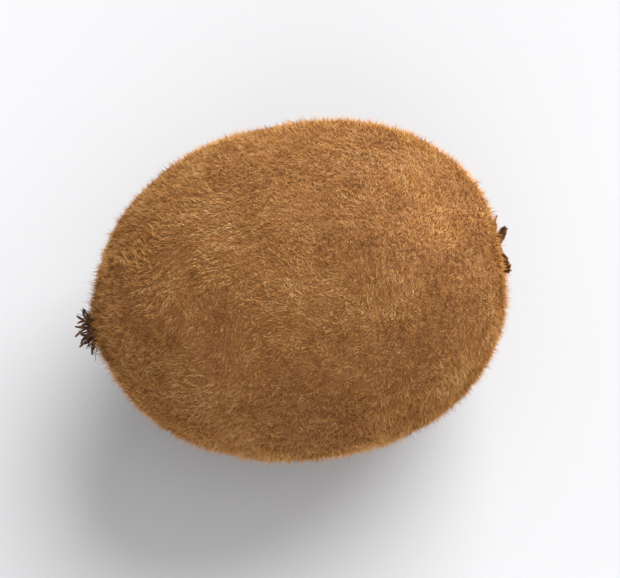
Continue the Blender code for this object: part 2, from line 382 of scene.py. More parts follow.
def makeSkin():
    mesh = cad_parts["fruit"].data.copy()
    form = bmesh.new()
    form.from_mesh(mesh)
    bmesh.ops.remove_doubles(form, verts=form.verts[:], dist=skin["mergeDistance"])
    faceAngle, shapeAngle = skin["mergeAngles"]
    angles = {"angle_face_threshold": faceAngle, "angle_shape_threshold": shapeAngle}
    bmesh.ops.join_triangles(form, faces=form.faces[:], **angles)
    form.to_mesh(mesh)
    form.free()
    mesh.materials.clear()
    solidNormals = mesh.attributes.get("custom_normal")
    if solidNormals:
        mesh.attributes.remove(solidNormals)
    piece = newPiece("fruitSkin", mesh)
    applyTree(piece, skinTree(), {**skin, "material": skinMaterial()})
    attach(piece, "skin", "fruit")
    return piece


fruitSkin = makeSkin()
print("kiwifruit: skin made,", len(fruitSkin.data.polygons), "faces")


def surfaceOf(piece):
    form = bmesh.new()
    form.from_mesh(piece.data)
    surface = BVHTree.FromBMesh(form)
    form.free()
    return surface


skinSurface = surfaceOf(fruitSkin)


# A point over the skin at one end, by distance from the axis, angle round it and height along X
def overSkin(axis, radius, angle, height):
    side = math.copysign(1, axis.x)
    y = axis.y + radius * math.cos(angle)
    z = axis.z + radius * math.sin(angle)
    hit = skinSurface.ray_cast(Vector((side * farOut, y, z)), Vector((-side, 0, 0)))[0]
    return hit + Vector((side * height, 0, 0))


# Sets each sepal or thread apart from the next
def wave(index, share, pace, start=0):
    return share * math.sin(pace * index + start)


# A finer run through (radius, height) points
def finerProfile(profile, steps):
    run = []
    for (r0, h0), (r1, h1) in zip(profile, profile[1:]):
        for i in range(steps):
            share = i / steps
            run.append((r0 + (r1 - r0) * share, h0 + (h1 - h0) * share))
    return run + [profile[-1]]


# A low round body on the skin. The profile gives (radius, height) from under the rim to the
# middle. Its roughness grows over the first millimetre.
def addRoundBody(points, faces, axis, profile, body):
    rings = []
    for radius, height in finerProfile(profile, body["steps"]):
        ring = []
        for i in range(body["spokes"]):
            angle = 2 * math.pi * i / body["spokes"]
            spoke = Vector((math.cos(angle), math.sin(angle), 0))
            swell = 1 + body["swell"] * noise.noise(2 * spoke)
            place = (radius * spoke + Vector((0, 0, height))) / body["grain"]
            rise = body["roughness"] * noise.noise(place) * min(1, height / mm)
            ring.append(len(points))
            points.append(overSkin(axis, radius * swell, angle, height + rise))
        rings.append(ring)
    for a, b in zip(rings, rings[1:]):
        faces += [(a[i - 1], a[i], b[i], b[i - 1]) for i in range(len(a))]
    for end in (0, -1):
        ring = rings[end]
        points.append(overSkin(axis, 0, 0, profile[end][1]))
        faces += [(ring[i - 1], ring[i], len(points) - 1) for i in range(len(ring))]


# A closed thin plate from two alike grids of points
def addPlate(points, faces, outer, inner):
    def laid(grid):
        rows = []
        for row in grid:
            rows.append(list(range(len(points), len(points) + len(row))))
            points.extend(row)
        return rows

    edges = []
    for grid in (laid(outer), laid(inner)):
        for a, b in zip(grid, grid[1:]):
            faces += [(a[c], a[c + 1], b[c + 1], b[c]) for c in range(len(a) - 1)]
        edge = grid[0] + [row[-1] for row in grid[1:]]
        edge += grid[-1][-2::-1] + [row[0] for row in grid[-2:0:-1]]
        edges.append(edge)
    top, under = edges
    faces += [(top[i - 1], top[i], under[i], under[i - 1]) for i in range(len(top))]


# Dry calyx: the stub of the stalk with a pale scar on it, and five thin sepals. A wave is
# (share, pace, start).
calyx = {
    "gap": 0.35 * mm,
    "radius": 2.5 * mm,
    "height": 1.7 * mm,
    "dish": 0.6 * mm,
    "stub": {  # side and dish as shares of the radius, the height and the dish
        "side": ((0.33, 0), (1, 0), (1, 0.4), (0.84, 0.62), (0.74, 0.92), (0.58, 1)),
        "dish": ((0.4, 0.7), (0.18, 1)),
        "steps": 4,
        "spokes": 60,
        "swell": 0.05,
        "roughness": 0.22 * mm,
        "grain": 0.5 * mm,
    },
    "sepals": 5,
    "turnWave": (0.25, 5),
    "length": 4.0 * mm,
    "lengthWave": (0.16, 2.3, 1.6),
    "halfWidth": 1.7 * mm,
    "widthWave": (0.12, 3.1, 1),
    "root": 1.5 * mm,
    "tipShare": 0.12,
    "belly": {"start": 0.22, "run": 0.76, "power": 0.7},
    "curl": 1.0 * mm,
    "curlWave": (0.4, 1.7),
    "curlPower": 2.2,
    "cup": 0.25 * mm,
    "topHeight": 0.6 * mm,
    "thickness": 0.34 * mm,
    "edgeThickness": 0.14 * mm,
    "edgePower": 3,
    "veins": 5,
    "veinHeight": 0.07 * mm,
    "veinFade": 0.6,
    "crumple": 0.34 * mm,
    "crumpleSize": 1.2 * mm,
    "tipTear": 0.15,
    "tipTearPace": (2.5, 7.1),  # across one sepal, and from one to the next
    "sideTear": 0.30,
    "sideTearPace": (5, 3.7),  # along one sepal, and from one to the next
    "sideApart": 5,  # so that the two sides of a sepal tear differently
    "rows": 30,
    "columns": 22,
    "shine": 0.2,
    "veinPace": (8.0, 0.12 / mm),  # round the axis, and along the surface
    "veinDetail": 3.0,
    "veinRoughness": 0.6,
    "papery": (0.270, 0.140, 0.060, 1),
    "paperyShare": 0.8,
    "paperyEdges": (0.42, 0.62),
    "scar": (0.330, 0.190, 0.090, 1),
    "scarCore": 0.765 * mm,
    "scarRadius": 1.7 * mm,
    "scarShare": 0.75,
    "scarEdges": (0.35, 0.6),
    "scarFaintest": 0.3,
    "bumpDepth": 0.12 * mm,
    "mottleBump": 0.3,  # as a share of the veins'
    "look": {
        "blotchSize": 1.1 * mm,
        "dotSize": 0.4 * mm,
        "dotStrength": 0.5,
        "dark": (0.034, 0.014, 0.006, 1),
        "light": (0.130, 0.058, 0.021, 1),
        "dots": (0.014, 0.007, 0.004, 1),
        "darkRoughness": 0.95,
        "lightRoughness": 0.75,
    },
}


def calyxMaterial():
    material, bench, shader = newMaterial("dryCalyx", calyx["shine"])
    where = bench.add("ShaderNodeTexCoord").outputs["Object"]
    pattern = addMottle(bench, where, calyx["look"])
    across = fromAxis(bench, where, stemAxis)
    distance = bench.vector("LENGTH", across)
    roundPace, alongPace = calyx["veinPace"]
    around = bench.scaled(bench.vector("NORMALIZE", across), roundPace)
    alongVeins = bench.vector("ADD", around, bench.scaled(where, alongPace))
    veins = bench.clouds(alongVeins, 1.0, calyx["veinDetail"], calyx["veinRoughness"])
    scar = bench.spread(distance, calyx["scarCore"], calyx["scarRadius"], calyx["scarShare"], 0.0)
    scarVeins = bench.spread(veins, *calyx["scarEdges"], calyx["scarFaintest"], 1.0)
    scar = bench.calc("MULTIPLY", scar, scarVeins)
    reach = calyx["root"] + calyx["length"]
    papery = bench.spread(distance, calyx["radius"], reach, 0.0, calyx["paperyShare"])
    papery = bench.calc("MULTIPLY", papery, bench.spread(veins, *calyx["paperyEdges"], 0.0, 1.0))
    colour = bench.mixed(papery, pattern["Color"], calyx["papery"])
    bench.feed(shader["Base Color"], bench.mixed(scar, colour, calyx["scar"]))
    bench.feed(shader["Roughness"], pattern["Roughness"])
    fine = bench.calc("MULTIPLY", pattern["Height"], calyx["mottleBump"])
    addBump(bench, shader, bench.calc("ADD", veins, fine), calyx["bumpDepth"])
    return material


# Noise of three octaves
def ragged(place):
    return noise.fractal(place, 1, 2, 3)


def addSepal(points, faces, index):
    angle = 2 * math.pi * (index + wave(index, *calyx["turnWave"])) / calyx["sepals"]
    length = calyx["length"] * (1 + wave(index, *calyx["lengthWave"]))
    halfWidth = calyx["halfWidth"] * (1 + wave(index, *calyx["widthWave"]))
    curl = calyx["curl"] * (1 + wave(index, *calyx["curlWave"]))
    belly = calyx["belly"]
    tipPace, tipStep = calyx["tipTearPace"]
    sidePace, sideStep = calyx["sideTearPace"]
    outer, inner = [], []
    for row in range(calyx["rows"] + 1):
        along = row / calyx["rows"]
        bulge = math.sin(math.pi * (belly["start"] + belly["run"] * along)) ** belly["power"]
        width = halfWidth * (calyx["tipShare"] + (1 - calyx["tipShare"]) * bulge)
        top, under = [], []
        for column in range(calyx["columns"] + 1):
            across = 2 * column / calyx["columns"] - 1
            tipTear = calyx["tipTear"] * ragged(Vector((across * tipPace, index * tipStep, 0.5)))
            apart = math.copysign(calyx["sideApart"], across)
            sidePlace = Vector((along * sidePace, index * sideStep, apart))
            sideTear = calyx["sideTear"] * ragged(sidePlace)
            reach = calyx["root"] + length * along * (1 + tipTear)
            side = width * across * (1 + sideTear * along)
            crumple = ragged(Vector((reach, side, index * mm)) / calyx["crumpleSize"])
            vein = math.cos(math.pi * calyx["veins"] * across) * (1 - calyx["veinFade"] * along)
            height = calyx["gap"] + calyx["topHeight"] + calyx["veinHeight"] * vein
            height += curl * along ** calyx["curlPower"] + calyx["cup"] * across**2 * along
            height += calyx["crumple"] * along * crumple
            edge = max(abs(across), along) ** calyx["edgePower"]
            thick = calyx["thickness"] + (calyx["edgeThickness"] - calyx["thickness"]) * edge
            turn = angle + math.atan2(side, reach)
            radius = math.hypot(reach, side)
            top.append(overSkin(stemAxis, radius, turn, height))
            under.append(overSkin(stemAxis, radius, turn, height - thick))
        outer.append(top)
        inner.append(under)
    addPlate(points, faces, outer, inner)


def makeCalyx():
    points, faces = [], []
    radius, height = calyx["radius"], calyx["height"]
    top = calyx["gap"] + height
    profile = [(radius * r, calyx["gap"] + height * h) for r, h in calyx["stub"]["side"]]
    profile += [(radius * r, top - calyx["dish"] * h) for r, h in calyx["stub"]["dish"]]
    addRoundBody(points, faces, stemAxis, profile, calyx["stub"])
    for index in range(calyx["sepals"]):
        addSepal(points, faces, index)
    mesh = meshOf("dryCalyx", points, faces)
    mesh.materials.append(calyxMaterial())
    mesh.shade_smooth()
    piece = newPiece("dryCalyx", mesh)
    attach(piece, "dry_calyx", "calyx")
    return piece


dryCalyx = makeCalyx()
print("kiwifruit: calyx made,", len(dryCalyx.data.polygons), "faces")


# Dry styles: a knot of curled threads, with thinner wisps round it
styles = {
    "gap": 0.35 * mm,
    "goldenAngle": math.radians(137.5),
    "knotRadius": 2.0 * mm,
    "knotHeight": 1.1 * mm,
    "knotBody": {  # side as shares of the radius and the height
        "side": ((0.33, 0), (1, 0), (1, 0.35), (0.8, 0.75), (0.45, 1), (0.15, 1.02)),
        "steps": 3,
        "spokes": 48,
        "swell": 0.05,
        "roughness": 0.4 * mm,
        "grain": 0.45 * mm,
    },
    "threads": {
        "count": 36,
        "length": 3.3 * mm,
        "lengthWave": (0.25, 2.9),
        "outerShorter": 0.25,
        "rootRadius": 0.27 * mm,
        "tipRadius": 0.16 * mm,
        "rootHeight": 1.6,  # in root radii
        "rootSpread": 0.6,  # of the knot's radius
        "lean": math.radians(72),
        "bendWave": (math.radians(75), 1.3),
        "outerStraighter": 0.6,
        "swingWave": (0.9, 2.1),
        "swingTurn": 2,
        "waist": 0.3,
        "waistReach": 1.15,
        "endShare": 0.6,  # of the last radius
        "steps": 15,
    },
    "wisps": {
        "count": 44,
        "length": 2.5 * mm,
        "lengthWave": (0.35, 4.3),
        "radius": 0.075 * mm,
        "taper": 0.55,
        "turnWave": (0.3, 7.7),
        "root": 1.7 * mm,
        "rootWave": (0.2, 2.7),
        "rootHeight": 0.2 * mm,
        "lean": 38,  # in degrees
        "leanWave": (0.5, 3.3),
        "bendWave": (42, 2.3),  # in degrees
        "swingWave": (0.6, 1.7),
        "swingTurn": 2.5,
        "steps": 8,
    },
    "sides": 8,
    "lumpSize": 0.35 * mm,
    "lumpDepth": 0.14 * mm,
    "smoothRadius": 0.1 * mm,  # no lumps on threads thinner than this
    "lumpyRadius": 0.2 * mm,
    "shine": 0.2,
    "tipColour": (0.170, 0.090, 0.040, 1),
    "tipShare": 0.7,
    "tipHeights": (1.6 * mm, 3.6 * mm),
    "bumpDepth": 0.06 * mm,
    "look": {
        "blotchSize": 0.7 * mm,
        "dotSize": 0.25 * mm,
        "dotStrength": 0.6,
        "dark": (0.034, 0.016, 0.008, 1),
        "light": (0.110, 0.055, 0.026, 1),
        "dots": (0.012, 0.006, 0.003, 1),
        "darkRoughness": 0.9,
        "lightRoughness": 0.7,
    },
}


def stylesMaterial():
    material, bench, shader = newMaterial("dryStyles", styles["shine"])
    where = bench.add("ShaderNodeTexCoord").outputs["Object"]
    pattern = addMottle(bench, where, styles["look"])
    low, high = [blossomAxis.x - height for height in styles["tipHeights"]]
    tips = bench.spread(bench.split(where)["X"], low, high, 0.0, styles["tipShare"])
    bench.feed(shader["Base Color"], bench.mixed(tips, pattern["Color"], styles["tipColour"]))
    bench.feed(shader["Roughness"], pattern["Roughness"])
    addBump(bench, shader, pattern["Height"], styles["bumpDepth"])
    return material


# Follows a thread from its root, turning with every step
def followThread(start, turn, step, steps, leanAt, swingAt):
    outwards = Vector((0, math.cos(turn), math.sin(turn)))
    sideways = Vector((0, -math.sin(turn), math.cos(turn)))
    path = [start]
    for i in range(steps):
        along = (i + 0.5) / steps
        lean = leanAt(along)
        heading = Vector((-math.cos(lean), 0, 0)) + outwards * math.sin(lean)
        heading += sideways * swingAt(along)
        path.append(path[-1] + heading.normalized() * step)
    return path


def thread(index):
    form = styles["threads"]
    turn = styles["goldenAngle"] * index
    share = math.sqrt((index + 0.5) / form["count"])
    length = form["length"] * (1 - form["outerShorter"] * share)
    length *= 1 + wave(index, *form["lengthWave"])
    start = overSkin(blossomAxis, 0, 0, styles["gap"] + form["rootHeight"] * form["rootRadius"])
    outwards = Vector((0, math.cos(turn), math.sin(turn)))
    start += outwards * styles["knotRadius"] * form["rootSpread"] * share

    def leanAt(along):
        straighter = 1 - form["outerStraighter"] * share
        return form["lean"] * share + wave(index, *form["bendWave"]) * along * straighter

    def swingAt(along):
        return wave(index, *form["swingWave"], form["swingTurn"] * along)

    path = followThread(start, turn, length / form["steps"], form["steps"], leanAt, swingAt)
    radii = []
    for i in range(len(path)):
        along = i / form["steps"]
        size = form["rootRadius"] + (form["tipRadius"] - form["rootRadius"]) * along
        waist = 1 - form["waist"] * math.sin(math.pi * min(1, along * form["waistReach"])) ** 2
        radii.append(size * waist * (1 if along < 1 else form["endShare"]))
    return path, radii


def wisp(index):
    form = styles["wisps"]
    turn = styles["goldenAngle"] * index + wave(index, *form["turnWave"])
    length = form["length"] * (1 + wave(index, *form["lengthWave"]))
    root = form["root"] * (1 + wave(index, *form["rootWave"]))
    start = overSkin(blossomAxis, root, turn, form["rootHeight"])

    def leanAt(along):
        lean = form["lean"] * (1 + wave(index, *form["leanWave"]))
        most, pace = form["bendWave"]
        return math.radians(lean + wave(index, most * along, pace))

    def swingAt(along):
        return wave(index, *form["swingWave"], form["swingTurn"] * along)

    path = followThread(start, turn, length / form["steps"], form["steps"], leanAt, swingAt)
    radii = [form["radius"] * (1 - form["taper"] * i / form["steps"]) for i in range(len(path))]
    return path, radii


# Threads as bare edges that keep their radius at each point
def threadLines():
    points, edges, radii = [], [], []
    lines = [thread(i) for i in range(styles["threads"]["count"])]
    lines += [wisp(i) for i in range(styles["wisps"]["count"])]
    for path, sizes in lines:
        first = len(points)
        points += path
        radii += sizes
        edges += [(i, i + 1) for i in range(first, len(points) - 1)]
    mesh = bpy.data.meshes.new("dryStyles")
    mesh.from_pydata(points, edges, [])
    mesh.attributes.new("thickness", "FLOAT", "POINT").data.foreach_set("value", radii)
    return newPiece("dryStyles", mesh)


# Gives the lines their round, lumpy body and adds the knot that they grow from
def threadTree():
    bench, given = startTree("threads", {
        "Object": ["Knot"],
        "Int": ["Sides"],
        "Float": ["Lump Size", "Lump Depth", "Smooth Radius", "Lumpy Radius"],
    })
    lines = bench.through("MeshToCurve", given["Geometry"])
    circle = {"Resolution": given["Sides"], "Radius": 1.0}
    circle = bench.add("GeometryNodeCurvePrimitiveCircle", circle)
    shape = bench.through("CurveToMesh", lines, {
        "Profile Curve": circle.outputs[0],
        "Scale": bench.stored("thickness"),
        "Fill Caps": True,
    })
    lumps = bench.calc("SUBTRACT", bench.clouds(bench.position(), given["Lump Size"]), 0.5)
    radii = (given["Smooth Radius"], given["Lumpy Radius"])
    share = bench.spread(bench.stored("thickness"), *radii, 0.0, 1.0)
    push = bench.scaled(bench.normal(), bench.calc("MULTIPLY", lumps, given["Lump Depth"], share))
    shape = bench.through("SetPosition", shape, {"Offset": push})
    knot = bench.add("GeometryNodeObjectInfo", {"Object": given["Knot"]}).outputs["Geometry"]
    join = bench.add("GeometryNodeJoinGeometry")
    for part in (shape, knot):
        bench.feed(join.inputs[0], part)
    shape = bench.through("RemoveAttribute", join.outputs[0], {"Name": "thickness"})
    return endTree(bench, given, shape)


def makeStyles():
    points, faces = [], []
    radius, height = styles["knotRadius"], styles["knotHeight"]
    profile = [(radius * r, styles["gap"] + height * h) for r, h in styles["knotBody"]["side"]]
    addRoundBody(points, faces, blossomAxis, profile, styles["knotBody"])
    knot = newPiece("knot", meshOf("knot", points, faces))
    piece = threadLines()
    applyTree(piece, threadTree(), {**styles, "knot": knot, "material": stylesMaterial()})
    bpy.data.objects.remove(knot, do_unlink=True)
    attach(piece, "dry_styles", "styles")
    return piece


dryStyles = makeStyles()
print("kiwifruit: styles made,", len(dryStyles.data.polygons), "faces")


# Fuzz: coats of strands from stray long hairs to short down. Cover is the number of strands for
# each square metre of skin, and a strand of two rings is bent.
coats = {
    "fuzzStray": {
        "cover": 1.0 / mm**2, "clumping": 0.85, "length": 1.45 * mm, "width": 0.09 * mm,
        "lean": 0.25, "tone": 0.47, "rings": 2, "seed": 51,
    },
    "fuzzLong": {
        "cover": 1.7 / mm**2, "clumping": 0.5, "length": 1.15 * mm, "width": 0.09 * mm,
        "lean": 0.6, "tone": 0.55, "rings": 2, "seed": 3,
    },
    "fuzzMiddle": {
        "cover": 5.0 / mm**2, "clumping": 0.0, "length": 0.9 * mm, "width": 0.1 * mm,
        "lean": 1.0, "tone": 0.55, "rings": 1, "seed": 11,
    },
    "fuzzShort": {
        "cover": 5.5 / mm**2, "clumping": 0.0, "length": 0.7 * mm, "width": 0.1 * mm,
        "lean": 1.3, "tone": 0.49, "rings": 1, "seed": 23,
    },
    "fuzzDown": {
        "cover": 5.8 / mm**2, "clumping": 0.0, "length": 0.55 * mm, "width": 0.1 * mm,
        "lean": 1.7, "tone": 0.40, "rings": 1, "seed": 37,
    },
    "fuzzUnder": {
        "cover": 2.2 / mm**2, "clumping": 0.0, "length": 0.4 * mm, "width": 0.1 * mm,
        "lean": 2.0, "tone": 0.3, "rings": 1, "seed": 43,
    },
}
calyxCoat = {
    "cover": 18.0 / mm**2, "clumping": 0.0, "length": 0.36 * mm, "width": 0.06 * mm,
    "lean": 1.3, "tone": 0.5, "rings": 1, "seed": 61,
}

fuzz = {
    "lengthSpread": 0.35,
    "widthRange": (0.35, 0.62),
    "tuftSize": 1.0 * mm,
    "tuftPull": 0.85,
    "ragged": 0.38,
    "swirlSize": 16 * mm,
    "swirl": 5.0,
    "comb": (-0.6, 0, 0),  # towards the blossom end
    "parting": 0.8,  # strands stand up where the swirls are weaker than this
    "patchSize": 9 * mm,
    "patchEdges": (0.3, 0.6),
    "thinnest": 0.55,
    "clumpSize": 2.2 * mm,
    "clumpEdges": (0.42, 0.58),
    "bareRadius": 2.3 * mm,  # no fuzz this close to the axis
    "endCore": 4.2 * mm,  # longer and darker fuzz from endRadius in to endCore
    "endRadius": 14 * mm,
    "endLength": 0.35,
    "endTone": -0.2,
    "areaSize": 7 * mm,
    "areaEdges": (0.3, 0.7),
    "areaTone": 0.2,
    "tuftTone": 0.22,
    "strandTone": 0.17,
    "toneLimits": (0.02, 0.98),
    "seeds": {"spin": 5, "length": 7, "width": 9, "tone": 13},
    "floorGap": 0.04 * mm,
    "floorRoom": 0.1 * mm,
    "floorDip": -0.7,  # how far down a strand may point for the room under it
    "sepalRoom": 2 * mm,
    "sepalGap": 0.05 * mm,
    "strandTaper": 0.8,
    "strandBend": 4.0,
    "capHeight": 0.02,  # of the face under the root, on the map
    "sideWidth": 1 / 128,  # of a strand, on the map
    "shine": 0.12,
    "roughness": (0.9, 0.6),  # at the root and the tip
    # darker at the root: painted shade in the coat
    "rootShade": 0.62,
    "tipShade": 0.86,
    "shadeTop": 0.8,
    "kinks": (128, 9),  # across the tones, and from root to tip
    "kinkRoughness": 0.6,
    "kinkEdges": (0.3, 0.7),
    "kinkShades": (0.85, 1.15),
    "bumpDepth": 0.01 * mm,
    "tones": (
        (0.0, (0.260, 0.100, 0.025, 1)),
        (0.35, (0.530, 0.230, 0.060, 1)),
        (0.7, (0.760, 0.392, 0.124, 1)),
        (1.0, (0.890, 0.600, 0.290, 1)),
    ),
}


# One strand of unit height: a three-sided spike of one ring of faces or more. Its own map lays
# the sides next to each other, with the root at the bottom and the tip at the top.
def strandShape(name, rings):
    points, faces = [], [(2, 1, 0)]
    places = [(2 / 3, 0), (1 / 3, fuzz["capHeight"]), (0, 0)]
    for ring in range(rings):
        height = ring / rings
        width = 1 - fuzz["strandTaper"] * height
        for side in range(3):
            turn = 2 * math.pi * side / 3
            x = width * math.cos(turn) + fuzz["strandBend"] * height**2
            points.append((x, width * math.sin(turn), height))
    points.append((fuzz["strandBend"], 0, 1))
    for ring in range(rings):
        low, high = ring / rings, (ring + 1) / rings
        for side in range(3):
            a, b = 3 * ring + side, 3 * ring + (side + 1) % 3
            left, right = side / 3, (side + 1) / 3
            if ring < rings - 1:
                faces.append((a, b, b + 3, a + 3))
                places += [(left, low), (right, low), (right, high), (left, high)]
            else:
                faces.append((a, b, len(points) - 1))
                places += [(left, low), (right, low), ((left + right) / 2, 1)]
    mesh = bpy.data.meshes.new(name)
    mesh.from_pydata(points, [], faces)
    for corner, place in zip(mesh.uv_layers.new(name="strandMap").data, places):
        corner.uv = place
    return newPiece(name, mesh)


# Colour by the strand map alone: tone from left to right, root to tip upwards, darker towards the
# root as painted shade in the coat
def fuzzMaterial():
    material, bench, shader = newMaterial("fuzz", fuzz["shine"])
    place = bench.split(bench.add("ShaderNodeUVMap", uv_map="OFBake").outputs[0])
    ramp = bench.add("ShaderNodeValToRGB", {0: place["X"]})
    stops = ramp.color_ramp.elements
    while len(stops) < len(fuzz["tones"]):
        stops.new(0.5)
    for stop, (tone, colour) in zip(stops, fuzz["tones"]):
        stop.position = tone
        stop.color = colour
    acrossPace, alongPace = fuzz["kinks"]
    across = bench.calc("MULTIPLY", place["X"], acrossPace)
    along = bench.calc("MULTIPLY", place["Y"], alongPace)
    kinks = bench.clouds(bench.joined(across, along), 1.0, roughness=fuzz["kinkRoughness"])
    # painted shade: each strand is darker towards its root
    shade = bench.spread(place["Y"], 0.0, fuzz["shadeTop"], fuzz["rootShade"], fuzz["tipShade"])
    kinkShade = bench.spread(kinks, *fuzz["kinkEdges"], *fuzz["kinkShades"])
    shade = bench.calc("MULTIPLY", shade, kinkShade)
    bench.feed(shader["Base Color"], bench.shaded(ramp.outputs[0], shade))
    bench.feed(shader["Roughness"], bench.spread(place["Y"], 0.0, 1.0, *fuzz["roughness"]))
    addBump(bench, shader, kinks, fuzz["bumpDepth"])
    return material


# Where the strands point: up from the skin, combed along it in slow swirls, drawn to the middle
# of their tuft, a little at random, and not down into the floor
def strandHeading(bench, given, where, normal, tufts):
    swirl = bench.clouds(where, given["Swirl Size"], 1.0, output="Color")
    swirl = bench.scaled(bench.vector("SUBTRACT", swirl, (0.5, 0.5, 0.5)), fuzz["swirl"])
    swirl = bench.vector("ADD", swirl, fuzz["comb"])
    outwards = bench.scaled(normal, bench.vector("DOT_PRODUCT", swirl, normal))
    swirl = bench.vector("SUBTRACT", swirl, outwards)
    strength = bench.calc("MAXIMUM", bench.vector("LENGTH", swirl), fuzz["parting"])
    swirl = bench.scaled(swirl, bench.calc("DIVIDE", given["Lean"], strength))
    toTuft = bench.vector("SUBTRACT", tufts["Position"], where)
    toTuft = bench.scaled(toTuft, bench.calc("DIVIDE", given["Tuft Pull"], given["Length"]))
    stray = {0: (-1, -1, -1), 1: (1, 1, 1), "Seed": given["Seed"]}
    stray = bench.add("FunctionNodeRandomValue", stray, data_type="FLOAT_VECTOR").outputs[0]
    heading = bench.vector("ADD", normal, swirl, toTuft, bench.scaled(stray, given["Ragged"]))
    heading = bench.split(bench.vector("NORMALIZE", heading))
    room = bench.calc("SUBTRACT", bench.split(where)["Z"], given["Floor Room"])
    lowest = bench.calc("MULTIPLY", bench.calc("DIVIDE", room, given["Length"]), fuzz["floorDip"])
    return bench.joined(heading["X"], heading["Y"], bench.calc("MAXIMUM", heading["Z"], lowest))


def fuzzTree():
    bench, given = startTree("fuzz", {
        "Object": ["Strand", "Calyx"],
        "Float": [
            "Cover", "Clumping", "Clump Size", "Patch Size", "Length", "Length Spread", "Width",
            "Lean", "Swirl Size", "Ragged", "Tuft Size", "Tuft Pull", "Tone", "Area Size",
            "Bare Radius", "End Core", "End Radius", "Sepal Gap", "Sepal Room", "Floor Gap",
            "Floor Room", "Speck Spacing",
        ],
        "Vector": ["Axis", "Middle"],
        "Int": ["Seed"],
    })
    where = bench.position()
    distance = bench.vector("LENGTH", fromAxis(bench, where, given["Axis"]))
    nearEnd = bench.spread(distance, given["End Core"], given["End Radius"], 1.0, 0.0)
    inSpeck = addSpecks(bench, where, given["Speck Spacing"])

    # thinner in patches and over specks, none on the axis at the ends or on undersides
    patches = bench.clouds(where, given["Patch Size"])
    patches = bench.spread(patches, *fuzz["patchEdges"], fuzz["thinnest"], 1.0)
    sparse = bench.calc("SUBTRACT", 1.0, given["Clumping"])
    dense = bench.calc("ADD", 1.0, given["Clumping"])
    clumps = bench.clouds(where, given["Clump Size"], 1.0)
    clumps = bench.spread(clumps, *fuzz["clumpEdges"], sparse, dense)
    offAxis = bench.calc("GREATER_THAN", distance, given["Bare Radius"])
    fromMiddle = bench.vector("SUBTRACT", where, given["Middle"])
    outside = bench.vector("DOT_PRODUCT", bench.normal(), fromMiddle)
    outside = bench.calc("GREATER_THAN", outside, 0.0)
    bare = bench.spread(inSpeck, 0.0, 1.0, 1.0, 1 - specksAndShade["bare"])
    scatter = bench.add("GeometryNodeDistributePointsOnFaces", {
        "Mesh": given["Geometry"],
        "Density": bench.calc("MULTIPLY", patches, clumps, offAxis, outside, given["Cover"], bare),
        "Seed": given["Seed"],
    }).outputs

    tufts = bench.cells(where, given["Tuft Size"])
    heading = strandHeading(bench, given, where, scatter["Normal"], tufts)
    turned = bench.add("FunctionNodeAlignRotationToVector", {"Vector": heading}, axis="Z")
    spin = {"Axis": (0, 0, 1), "Angle": bench.chance(0.0, 2 * math.pi, fuzz["seeds"]["spin"])}
    spin = bench.add("FunctionNodeAxisAngleToRotation", spin)
    turned = {0: turned.outputs[0], 1: spin.outputs[0]}
    turned = bench.add("FunctionNodeRotateRotation", turned, rotation_space="LOCAL")

    shortest = bench.calc("SUBTRACT", 1.0, given["Length Spread"])
    longest = bench.calc("ADD", 1.0, given["Length Spread"])
    ownLength = bench.chance(shortest, longest, fuzz["seeds"]["length"])
    atEnd = bench.spread(nearEnd, 0.0, 1.0, 1.0, 1 + fuzz["endLength"])
    overSpeck = bench.spread(inSpeck, 0.0, 1.0, 1.0, 1 - specksAndShade["shorter"])
    length = bench.calc("MULTIPLY", given["Length"], ownLength, atEnd, overSpeck)
    ownWidth = bench.chance(*fuzz["widthRange"], fuzz["seeds"]["width"])
    width = bench.calc("MULTIPLY", given["Width"], ownWidth)

    # each strand's tone: of the coat, the area, the tuft, the strand, the end and the speck, where
    # a darker tone is painted shade of the hole in the fuzz
    strandMiddle = bench.scaled(heading, bench.calc("MULTIPLY", length, 0.5))
    strandMiddle = bench.vector("ADD", where, strandMiddle)
    # strands over a speck are darkened as painted shade of the hole in the fuzz
    strandInSpeckShade = addSpecks(bench, strandMiddle, given["Speck Spacing"])
    area, tuft, own = fuzz["areaTone"], fuzz["tuftTone"], fuzz["strandTone"]
    tone = bench.calc(
        "ADD",
        given["Tone"],
        bench.spread(bench.clouds(where, given["Area Size"]), *fuzz["areaEdges"], -area, area),
        bench.spread(bench.split(tufts["Color"])["X"], 0.0, 1.0, -tuft, tuft),
        bench.chance(-own, own, fuzz["seeds"]["tone"]),
        bench.calc("MULTIPLY", nearEnd, fuzz["endTone"]),
        bench.calc("MULTIPLY", strandInSpeckShade, specksAndShade["tone"]),
    )
    darkest, lightest = fuzz["toneLimits"]
    tone = bench.add("ShaderNodeClamp", {0: tone, 1: darkest, 2: lightest}).outputs[0]
    points = bench.through(
        "StoreNamedAttribute", scatter["Points"], {"Name": "tone", "Value": tone},
        data_type="FLOAT", domain="POINT",
    )

    # no strand goes up through a sepal
    sepals = bench.add("GeometryNodeObjectInfo", {"Object": given["Calyx"]}).outputs["Geometry"]
    rayStart = bench.scaled(scatter["Normal"], given["Sepal Gap"])
    covered = bench.add("GeometryNodeRaycast", {
        "Target Geometry": sepals,
        "Source Position": bench.vector("ADD", where, rayStart),
        "Ray Direction": scatter["Normal"],
        "Ray Length": given["Sepal Room"],
    }).outputs["Is Hit"]
    strand = bench.add("GeometryNodeObjectInfo", {"Object": given["Strand"]}).outputs["Geometry"]
    shape = bench.through("InstanceOnPoints", points, {
        "Selection": bench.add("FunctionNodeBooleanMath", {0: covered}, operation="NOT").outputs[0],
        "Instance": strand,
        "Rotation": turned.outputs[0],
        "Scale": bench.joined(width, width, length),
    })
    shape = bench.through("RealizeInstances", shape)

